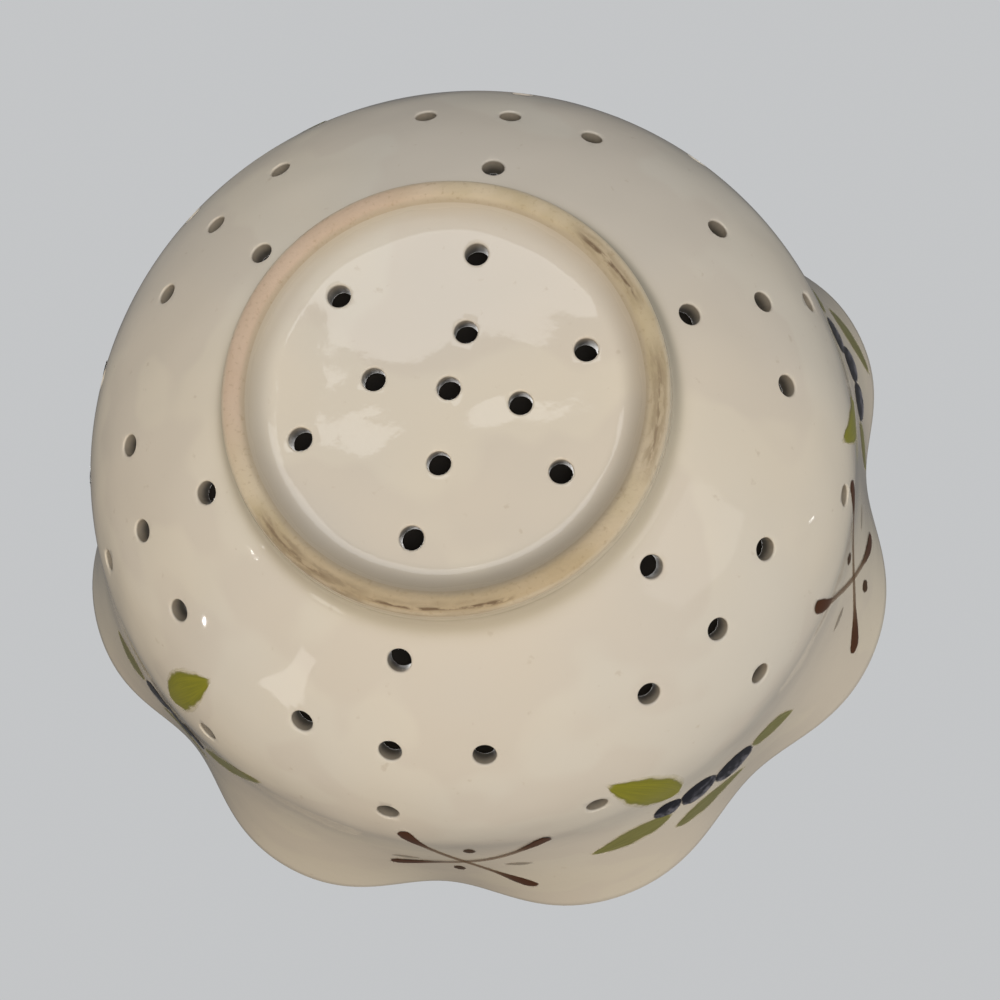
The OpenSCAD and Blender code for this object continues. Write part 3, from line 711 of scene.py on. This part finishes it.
def film(name, strips, material):
    """Brushed enamel: each strip is a grid of (across, up, thickness, u, v), closed below."""
    points, uvs, tones, faces = [], [], [], []
    for turn, middle_z, grid, tone in strips:
        rows, cols, start = len(grid), len(grid[0]), len(points)
        for layer in (1, 0):
            for row in grid:
                for across, along, thick, u, v in row:
                    points.append(on_wall(turn, middle_z, across, along, thick if layer else -seat))
                    uvs.append((u, v))
                    tones.append(tone)
        under = start + rows * cols
        for i in range(rows - 1):
            for j in range(cols - 1):
                a, b = i * cols + j, (i + 1) * cols + j
                faces.append((start + a, start + a + 1, start + b + 1, start + b))
                faces.append((under + a, under + b, under + b + 1, under + a + 1))
        border = list(range(cols)) + [i * cols + cols - 1 for i in range(1, rows)]
        border += [(rows - 1) * cols + j for j in range(cols - 2, -1, -1)]
        border += [i * cols for i in range(rows - 2, 0, -1)]
        for p, q in zip(border, border[1:] + border[:1]):
            faces.append((start + q, start + p, under + p, under + q))
    mesh = bpy.data.meshes.new(name)
    mesh.from_pydata(points, [], faces)
    layer = mesh.uv_layers.new(name="brush")
    for loop in mesh.loops:
        layer.data[loop.index].uv = uvs[loop.vertex_index]
    mesh.attributes.new("tone", "FLOAT", "POINT").data.foreach_set("value", tones)
    mesh.shade_smooth()
    return in_scene(name, mesh, material)


spray_h, spray_size = 55.0, 20.0
spray_turns = (74.5, 4.0, 159.5, 254.5)
leaf_tones = (1.0, 0.35, 0.1, 0.2)
# Each leaf: its base, its tip, its half width and its bow, as shares of the spray's size.
leaves = (
    (((0.33, -0.46), (0.94, -1.41), 0.22, -0.09), ((0.46, 0.06), (1.34, 0.15), 0.16, -0.04),
     ((0.47, 0.46), (-0.44, 0.6), 0.145, 0.04), ((-0.62, -0.03), (-1.17, 0.27), 0.17, 0.0)),
    (((0.6, -0.15), (1.33, -1.32), 0.18, -0.03), ((0.7, 0.41), (1.05, 1.19), 0.11, -0.03),
     ((-0.63, 0.52), (0.04, 1.17), 0.12, 0.02), ((-0.5, -0.02), (-0.95, 0.15), 0.14, 0.0)),
    (((-0.13, -1.13), (-0.49, -1.75), 0.18, 0.05), ((-0.55, -0.12), (-1.39, -0.97), 0.14, 0.02),
     ((0.27, 0.67), (-0.48, 0.49), 0.1, 0.02), ((0.57, 0.38), (1.16, 0.31), 0.15, 0.0)),
    (((0.32, -0.42), (0.9, -1.32), 0.21, -0.07), ((0.57, 0.09), (1.31, 0.2), 0.15, -0.03),
     ((0.44, 0.52), (-0.43, 0.63), 0.14, 0.04), ((-0.6, 0.01), (-1.18, 0.15), 0.16, 0.0)),
)


def brushed_leaf(base, tip, half, bow, rows=20, cols=12):
    """Grid of a leaf, a little wider than its paint so that the brush's edge can fade."""
    past_end, skew, fullness, spread, margin, swell = 0.04, 0.8, 0.85, 1.25, 0.35, 0.1
    base, tip = Vector(base) * spray_size, Vector(tip) * spray_size
    half, bow = half * spray_size, bow * spray_size
    side = Vector((base.y - tip.y, tip.x - base.x)).normalized()
    grid = []
    for i in range(rows + 1):
        s = -past_end + (1 + 2 * past_end) * i / rows
        inside = min(max(s, 0.001), 0.999)
        half_film = half * math.sin(math.pi * inside ** skew) ** fullness * spread + margin
        row = []
        for j in range(cols + 1):
            t = -1 + 2 * j / cols
            p = base + (tip - base) * s + side * (bow * math.sin(math.pi * inside) + t * half_film)
            row.append((p.x, p.y, film_edge + swell * (1 - t * t), s, t))
        grid.append(row)
    return grid


leaf_green, tree, shader = material_of("brushed_leaf_green")
brush = brush_place(tree)
along, across = parts_of(tree, brush)[:2]
tone = tone_of(tree)
where = object_place(tree)
ragged = (clouds(tree, where, 3.0, 4.0) - 0.5) * 0.5
edge_at = across.by("ABSOLUTE") + ragged
ragged_along = along + ragged * 0.2
body = between(edge_at, 0.9, 0.7) * between(ragged_along, -0.02, 0.05) * between(ragged_along, 1.03, 0.94)
halo = between(edge_at, 1.1, 0.7) * 0.35 * between(along, -0.04, 0.03) * between(along, 1.04, 0.97)
fresh_green, fresh_streak = (0.285, 0.27, 0.022, 1.0), (0.225, 0.22, 0.02, 1.0)
olive, olive_streak = (0.27, 0.26, 0.1, 1.0), (0.15, 0.145, 0.035, 1.0)
leaf_rim, leaf_halo = (0.13, 0.13, 0.02, 1.0), (0.62, 0.56, 0.26, 1.0)
streaks = between(clouds(tree, brush, 1000.0, 4.0, 0.6, (2.0, 14.0, 1.0)), 0.35, 0.65)
colour = blend(tone, blend(streaks, olive, olive_streak), blend(streaks, fresh_green, fresh_streak))
colour = blend(between(edge_at, 0.5, 0.85) * 0.5, colour, leaf_rim)
colour = blend(1.0 - body, colour, leaf_halo)
feed(shader.inputs["Base Color"], colour)
feed(shader.inputs["Alpha"], (body * (0.8 + 0.17 * tone)).by("MAXIMUM", halo))
shader.inputs["Roughness"].default_value = 0.3
shader.inputs["Specular IOR Level"].default_value = 0.3
for k in range(4):
    strips = [(spray_turns[k], spray_h, brushed_leaf(*leaf), leaf_tone)
              for leaf, leaf_tone in zip(leaves[k], leaf_tones)]
    piece = film(f"spray_{k + 1}_leaves_enamel", strips, leaf_green)
    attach(piece, "root")
    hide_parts(f"spray_{k + 1}_leaves")


# Berries of the sprays.
# Three round dabs of blue-black enamel in a row, each put down with a loaded brush, so that it
# is nearly black towards the foot and thins to grey-blue streaks towards the rim.
berry_steps, berry_thick = 14, 0.12
# Each berry: its middle and its radius, as shares of the spray's size.
berries = (
    ((0.475, -0.15, 0.15), (0.105, -0.07, 0.205), (-0.35, 0.09, 0.235)),
    ((-0.24, 0.09, 0.195), (0.05, 0.395, 0.19), (0.445, 0.51, 0.195)),
    ((0.35, 0.33, 0.18), (-0.03, 0.21, 0.2), (-0.33, -0.08, 0.16)),
    ((0.465, -0.12, 0.155), (0.095, -0.04, 0.195), (-0.345, 0.07, 0.225)),
)


def dab(middle_x, middle_y, half_x, half_y, steps, thick):
    """Grid of a round dab; its corners are pulled in to its outline."""
    wide, tall = 1.15, 1.35
    grid = []
    for i in range(steps + 1):
        row = []
        for j in range(steps + 1):
            p, q = -1 + 2 * j / steps, -1 + 2 * i / steps
            u, v = p * math.sqrt(1 - q * q / 2), q * math.sqrt(1 - p * p / 2)
            row.append((middle_x + u * half_x * wide, middle_y + v * half_y * tall,
                        film_edge + thick * (1 - u * u - v * v), u, v))
        grid.append(row)
    return grid


berry_black, tree, shader = material_of("brushed_berry_black")
u, v = parts_of(tree, brush_place(tree))[:2]
where = object_place(tree)
ragged = (clouds(tree, where, 2.5, 4.0) - 0.5) * 0.25
from_middle = (u * u + v * v) ** 0.5 + ragged
mottle = clouds(tree, where, 1.8, 5.0, 0.65, (1.0, 1.0, 0.5))
thin = between(v + (mottle - 0.5) * 5.0, -0.2, 1.1)
blue_black, grey_blue = (0.004, 0.004, 0.01, 1.0), (0.15, 0.15, 0.185, 1.0)
feed(shader.inputs["Base Color"], blend(thin, blue_black, grey_blue))
feed(shader.inputs["Alpha"], between(from_middle, 0.98, 0.86) * (1.0 - 0.2 * thin))
shader.inputs["Roughness"].default_value = 0.28
shader.inputs["Specular IOR Level"].default_value = 0.08
for k in range(4):
    strips = []
    for x, y, r in berries[k]:
        grid = dab(x * spray_size, y * spray_size, r * spray_size, r * spray_size, berry_steps, berry_thick)
        strips.append((spray_turns[k], spray_h, grid, 0.0))
    piece = film(f"spray_{k + 1}_berries_enamel", strips, berry_black)
    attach(piece, "root")
    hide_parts(f"spray_{k + 1}_berries")


# Strokes of the sprigs.
# Two long red-brown strokes crossed between the sprays, each drawn with a pressed brush at both
# ends and a light one between them.
sprig_h, reach, rise = 55.5, 14.0, 18.0
sprig_turns = (36.5, 111.0, 204.0, 307.0)
end_half, thin_half, club = 1.45, 0.5, 0.24
# Each stroke: its two ends as shares of the reach and the rise, and its bow as a share of the reach.
strokes = (
    (((-0.96, -1.23), (0.98, 0.88), 0.03), ((1.11, -1.36), (-0.71, 0.72), -0.17)),
    (((0.76, -1.24), (-0.94, 0.85), -0.18), ((-1.36, -0.91), (1.08, 0.31), 0.24)),
    (((-1.0, -1.13), (0.92, 0.78), 0.04), ((0.95, -1.22), (-0.82, 0.72), -0.16)),
    (((0.86, -1.18), (-0.9, 0.82), -0.16), ((-1.24, -0.93), (1.03, 0.4), 0.2)),
)


def brushed_stroke(start, end, bow, lift, rows=56, cols=6):
    """Grid of a stroke, thick towards both ends; a lift lays the second one over the first."""
    past_end, spread, margin, swell = 0.015, 1.12, 0.26, 0.08
    start, end = Vector((start[0] * reach, start[1] * rise)), Vector((end[0] * reach, end[1] * rise))
    side = Vector((start.y - end.y, end.x - start.x)).normalized()
    grid = []
    for i in range(rows + 1):
        s = -past_end + (1 + 2 * past_end) * i / rows
        inside = min(max(s, 0.0), 1.0)
        near = min(inside, 1 - inside) / club
        half = thin_half
        if near < 1:
            half += (end_half - thin_half) * math.sin(math.pi * math.sqrt(max(near, 0.03)))
        half_film = half * spread + margin
        row = []
        for j in range(cols + 1):
            t = -1 + 2 * j / cols
            p = start + (end - start) * s + side * (bow * reach * math.sin(math.pi * inside) + t * half_film)
            row.append((p.x, p.y, lift + swell * (1 - t * t), s, t))
        grid.append(row)
    return grid


stroke_brown, tree, shader = material_of("brushed_red_brown")
brush = brush_place(tree)
along, across = parts_of(tree, brush)[:2]
where = object_place(tree)
ragged = (clouds(tree, where, 1.6, 4.0) - 0.5) * 0.5
from_end = along.by("MINIMUM", 1.0 - along)
streaks = clouds(tree, brush, 1000.0, 4.0, 0.6, (5.0, 2.5, 1.0))
loaded = between(from_end + (streaks - 0.5) * 0.25, 0.34, 0.12)
thin_brown, red_brown = (0.19, 0.115, 0.06, 1.0), (0.075, 0.027, 0.009, 1.0)
feed(shader.inputs["Base Color"], blend(loaded, thin_brown, red_brown))
tip_share = 0.032
tip = (1.0 - from_end / tip_share).by("MAXIMUM", 0.0)
body = between((across * across + tip * tip) ** 0.5 + ragged * 0.7, 1.02, 0.72)
feed(shader.inputs["Alpha"], body * (0.66 + 0.34 * loaded))
shader.inputs["Roughness"].default_value = 0.3
shader.inputs["Specular IOR Level"].default_value = 0.06
stroke_lifts = (film_edge, 0.16)
for k in range(4):
    strips = [(sprig_turns[k], sprig_h, brushed_stroke(*stroke, lift), 0.0)
              for stroke, lift in zip(strokes[k], stroke_lifts)]
    piece = film(f"sprig_{k + 1}_strokes_enamel", strips, stroke_brown)
    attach(piece, "root")
    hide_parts(f"sprig_{k + 1}_strokes")


# Dots and dashes of the sprigs.
# A dot of the same brown above and below each crossing, and a faint grey-brown dash to each side.
dot_half, dot_thick = (1.21, 1.54), 0.08
dash_half, dash_thick, dab_steps = (2.7, 0.75), 0.04, 8
# Each place is a share of the reach and of the rise.
dots = (((0.0, -0.48), (0.08, 0.55)), ((-0.16, -0.6), (0.09, 0.37)),
        ((0.0, -0.5), (0.05, 0.5)), ((-0.1, -0.56), (0.08, 0.4)))
dashes = (((-0.8, 0.02), (0.81, -0.08)), ((-0.79, 0.04), (0.83, 0.01)),
          ((-0.8, 0.0), (0.8, -0.04)), ((-0.8, 0.03), (0.82, 0.0)))
dot_brown, tree, shader = material_of("dabbed_red_brown")
u, v = parts_of(tree, brush_place(tree))[:2]
tone = tone_of(tree)
where = object_place(tree)
ragged = (clouds(tree, where, 1.2, 3.0) - 0.5) * 0.4
dot_red_brown, faint_brown = (0.065, 0.032, 0.012, 1.0), (0.3, 0.26, 0.2, 1.0)
feed(shader.inputs["Base Color"], blend(tone, dot_red_brown, faint_brown))
feed(shader.inputs["Alpha"], between((u * u + v * v) ** 0.5 + ragged, 1.0, 0.7) * (1.0 - 0.45 * tone))
shader.inputs["Roughness"].default_value = 0.3
shader.inputs["Specular IOR Level"].default_value = 0.06
for k in range(4):
    strips = [(sprig_turns[k], sprig_h, dab(x * reach, y * rise, *half, dab_steps, thick), faint)
              for places, half, thick, faint in ((dots[k], dot_half, dot_thick, 0.0),
                                                 (dashes[k], dash_half, dash_thick, 1.0))
              for x, y in places]
    piece = film(f"sprig_{k + 1}_dots_enamel", strips, dot_brown)
    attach(piece, "root")
    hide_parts(f"sprig_{k + 1}_dots")
